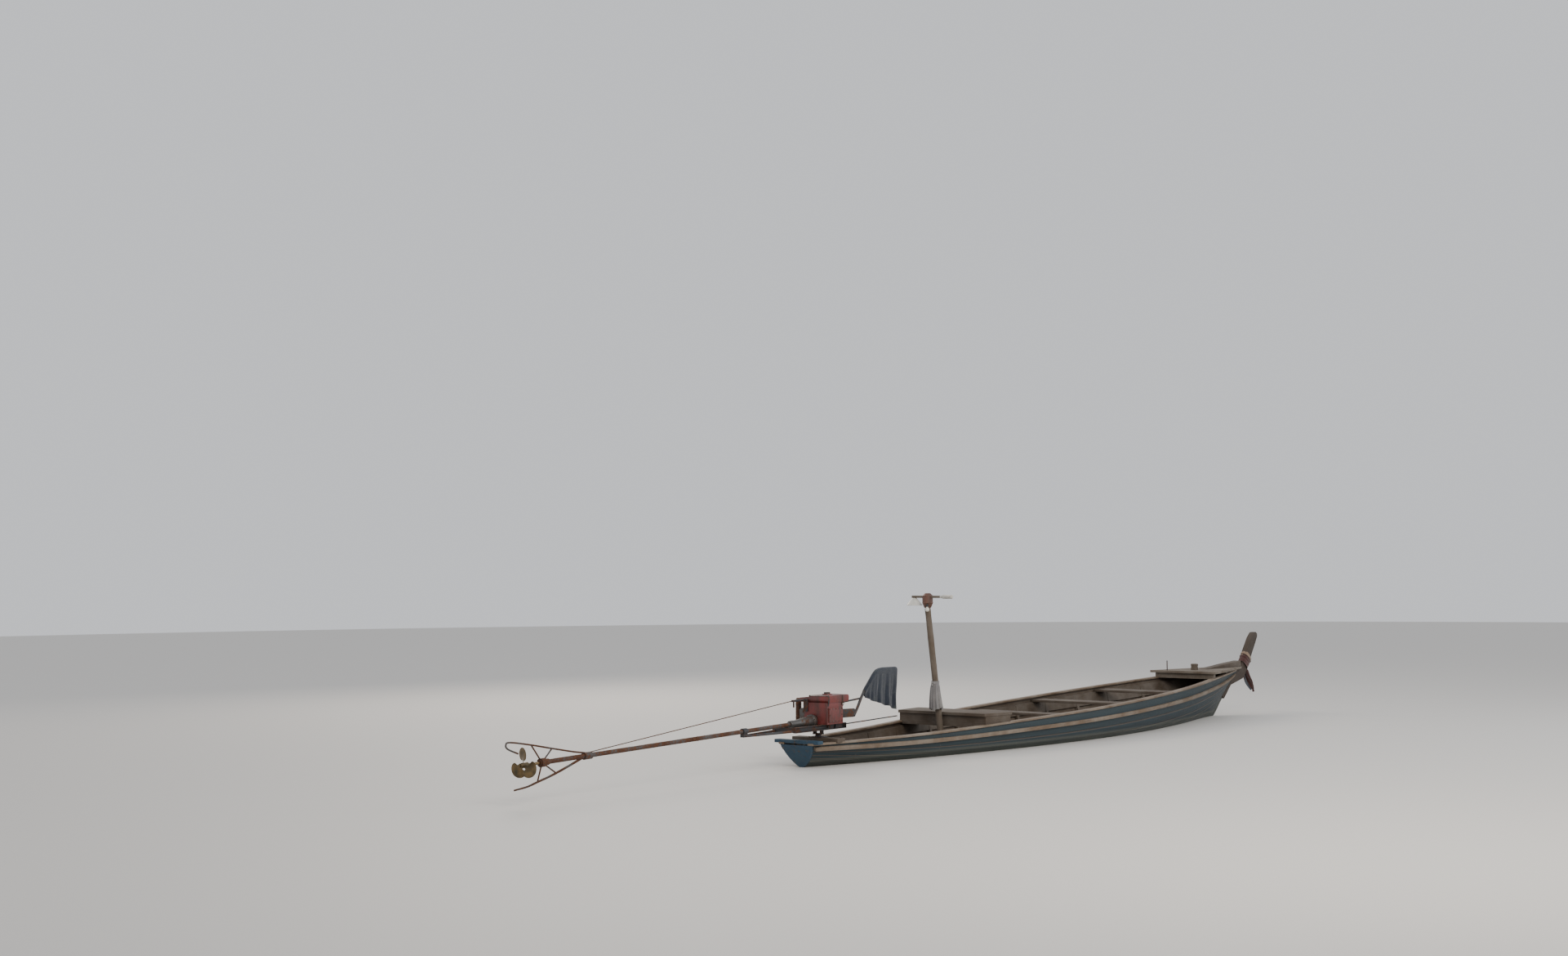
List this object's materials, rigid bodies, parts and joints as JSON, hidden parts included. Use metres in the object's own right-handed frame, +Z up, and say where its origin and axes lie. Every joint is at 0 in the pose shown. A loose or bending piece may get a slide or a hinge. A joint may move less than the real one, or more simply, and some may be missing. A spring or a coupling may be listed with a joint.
{
  "type": "longtail boat",
  "caption": "Narrow planked boat with a raked stem post, a foredeck, a lamp mast, and a motor on a swivel that drives a propeller on a long tail.",
  "frame": {"origin": "midships on the centreline at the waterline", "axes": "+X towards the bow, +Y to port, +Z up"},
  "size_m": [16.1352, 1.8284, 2.2565],
  "materials": {
    "hull_paint": "weathered dark paint on planks",
    "trim_paint": "worn oiled hardwood",
    "transom_paint": "weathered blue paint on wood",
    "inside_wood": "bare grey-brown hardwood",
    "deck_wood": "sun-bleached hardwood planks",
    "mast_wood": "bare round timber",
    "steel": "dark paint with rust",
    "cast_parts": "oily cast metal",
    "engine_paint": "chipped enamel",
    "bronze": "dull worn bronze",
    "lamp_enamel": "white enamel",
    "dark_cloth": "woven dark cloth",
    "pale_cloth": "washed cotton cloth",
    "bow_cloth": "bright thin cloth"
  },
  "bodies": {
    "hull": {"bottom_planking_port_aft": "hull_paint", "bottom_planking_port_middle": "hull_paint", "bottom_planking_port_fore": "hull_paint", "bottom_planking_port_bow": "hull_paint", "bottom_planking_starboard_aft": "hull_paint", "bottom_planking_starboard_middle": "hull_paint", "bottom_planking_starboard_fore": "hull_paint", "bottom_planking_starboard_bow": "hull_paint", "side_planking_port": "hull_paint", "side_planking_starboard": "hull_paint", "keel": "hull_paint", "stem": "trim_paint", "transom": "transom_paint", "gunwale_port": "trim_paint", "gunwale_starboard": "trim_paint", "rub_rail_port": "trim_paint", "rub_rail_starboard": "trim_paint", "side_frames_port": "inside_wood", "side_frames_starboard": "inside_wood", "floor_frames": "inside_wood", "floorboards": "inside_wood", "stern_beam": "transom_paint", "motor_beam": "inside_wood", "mast_bench": "inside_wood", "thwart_1": "inside_wood", "thwart_2": "inside_wood", "thwart_3": "inside_wood", "foredeck": "deck_wood", "bow_knee": "trim_paint", "bow_bollard": "deck_wood", "bow_pin": "steel", "bow_wrap": "bow_cloth", "bow_ribbon": "bow_cloth", "mast": "mast_wood", "mast_step": "inside_wood", "lamp_arm": "mast_wood", "lamp_body": "lamp_enamel", "lamp_shade": "lamp_enamel", "lamp_tube": "lamp_enamel", "mast_cloth": "pale_cloth", "pivot_plate": "steel"},
    "swivel": {"swivel_fork": "steel"},
    "motor": {"motor_bed": "steel", "engine_block": "engine_paint", "cylinder_head": "cast_parts", "engine_hopper": "engine_paint", "fuel_tank": "engine_paint", "silencer": "steel", "starting_dog": "cast_parts", "tail_housing": "cast_parts", "tail_tube": "steel", "tail_stay": "steel", "stay_bracket": "steel", "propeller_guard": "steel", "tiller": "steel", "tiller_brace": "steel", "tiller_cloth": "dark_cloth", "tie_rod": "steel"},
    "screw": {"propeller": "bronze"}
  },
  "joints": [
    {"name": "steer", "type": "hinge", "parent": "hull", "child": "swivel", "pos_m": [-4.616, 0, 0.36], "axis": [0, 0, 1], "range_deg": [-78, 72]},
    {"name": "tilt", "type": "hinge", "parent": "swivel", "child": "motor", "pos_m": [-4.616, 0, 0.45], "axis": [-0.0541, 0.9985, 0], "range_deg": [-10, 9]},
    {"name": "spin", "type": "hinge", "parent": "motor", "child": "screw", "pos_m": [-9.4639, -0.26255, 0.39534], "axis": [-0.9982, -0.0541, -0.0265], "continuous": true}
  ]
}
